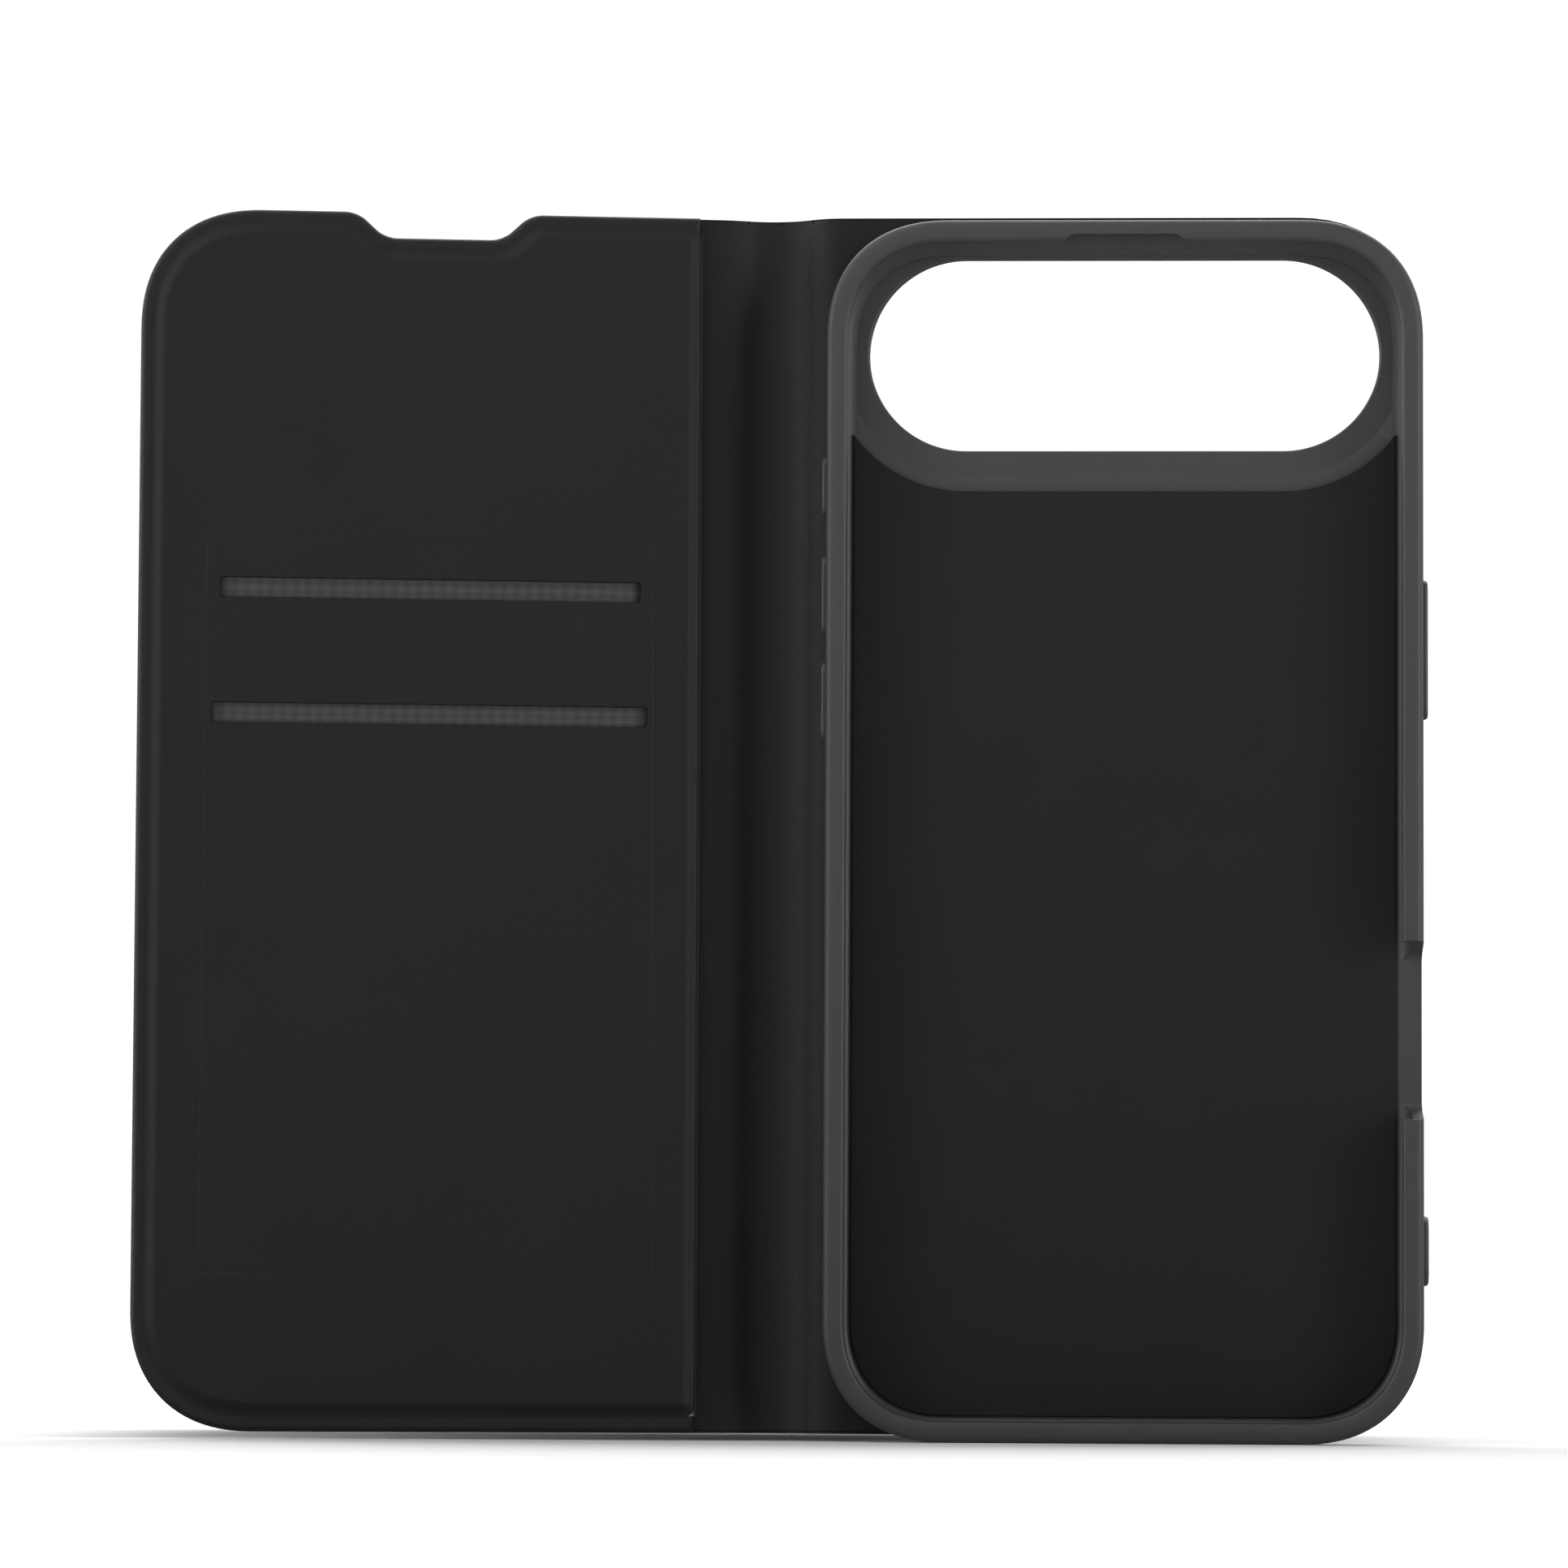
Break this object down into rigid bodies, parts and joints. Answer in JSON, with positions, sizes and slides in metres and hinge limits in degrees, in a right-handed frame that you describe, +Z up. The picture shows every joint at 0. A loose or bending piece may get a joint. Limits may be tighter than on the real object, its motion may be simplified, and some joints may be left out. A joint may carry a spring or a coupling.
{
  "type": "phone wallet case",
  "caption": "Book-style wallet case standing open on its lower edge: soft phone tray with camera window, folding spine and a padded cover with card slots.",
  "frame": {"origin": "middle of the lower face of the case's bounding box, at rest", "axes": "+Z up along the folds of the spine, +X from the cover towards the phone tray, +Y away from the side the phone's screen faces"},
  "size_m": [0.1682, 0.0162, 0.1606],
  "materials": {
    "soft_plastic": "matt black flexible plastic with fine moulded texture",
    "lining_cloth": "dull microfibre",
    "magnet_plating": "nickel plating",
    "black_leather": "fine-grained, satin",
    "liner_leather": "smooth, dull satin",
    "spine_lining": "smooth, dull satin",
    "grey_board": "pressed paperboard",
    "pocket_cloth": "fine twill"
  },
  "bodies": {
    "tray_and_back": {"tray_shell": "soft_plastic", "tray_magnet": "magnet_plating", "tray_floor_lining": "lining_cloth", "back_cover_skin": "black_leather"},
    "spine_back": {"spine_back_skin": "black_leather", "spine_back_lining": "spine_lining"},
    "spine_middle": {"spine_middle_skin": "black_leather", "spine_middle_lining": "spine_lining"},
    "spine_front": {"spine_front_skin": "black_leather", "spine_front_lining": "spine_lining"},
    "front_cover": {"front_cover_skin": "black_leather", "cover_margin_lining": "spine_lining", "front_stiffener_board": "grey_board", "cover_magnet": "magnet_plating", "pocket_backing": "pocket_cloth", "pocket_divider": "pocket_cloth", "front_liner_panel": "liner_leather"},
    "action_key": {"action_key_cap": "soft_plastic"},
    "volume_up_key": {"volume_up_key_cap": "soft_plastic"},
    "volume_down_key": {"volume_down_key_cap": "soft_plastic"},
    "power_key": {"power_key_cap": "soft_plastic"}
  },
  "joints": [
    {"name": "back_fold", "type": "hinge", "parent": "tray_and_back", "child": "spine_back", "pos_m": [0.00535, 0.00404, 0.0796], "axis": [0, 0, 1], "range_deg": [-12, 88]},
    {"name": "spine_fold_1", "type": "hinge", "parent": "spine_back", "child": "spine_middle", "pos_m": [0.00168, 0.00691, 0.0796], "axis": [0, 0, 1], "range_deg": [-70, 10]},
    {"name": "spine_fold_2", "type": "hinge", "parent": "spine_middle", "child": "spine_front", "pos_m": [-0.00294, 0.00756, 0.0796], "axis": [0, 0, 1], "range_deg": [-74, 6]},
    {"name": "cover_fold", "type": "hinge", "parent": "spine_front", "child": "front_cover", "pos_m": [-0.00713, 0.00551, 0.0796], "axis": [0, 0, 1], "range_deg": [-32.3, 67.7]},
    {"name": "action_key_press", "type": "slide", "parent": "tray_and_back", "child": "action_key", "axis": [1, 0, 0], "range_m": [0, 0.0004], "stiffness_N_per_m": 900, "springref_m": -0.0002},
    {"name": "volume_up_key_press", "type": "slide", "parent": "tray_and_back", "child": "volume_up_key", "axis": [1, 0, 0], "range_m": [0, 0.0004], "stiffness_N_per_m": 900, "springref_m": -0.0002},
    {"name": "volume_down_key_press", "type": "slide", "parent": "tray_and_back", "child": "volume_down_key", "axis": [1, 0, 0], "range_m": [0, 0.0004], "stiffness_N_per_m": 900, "springref_m": -0.0002},
    {"name": "power_key_press", "type": "slide", "parent": "tray_and_back", "child": "power_key", "axis": [-1, 0, 0], "range_m": [0, 0.0004], "stiffness_N_per_m": 900, "springref_m": -0.0002}
  ]
}
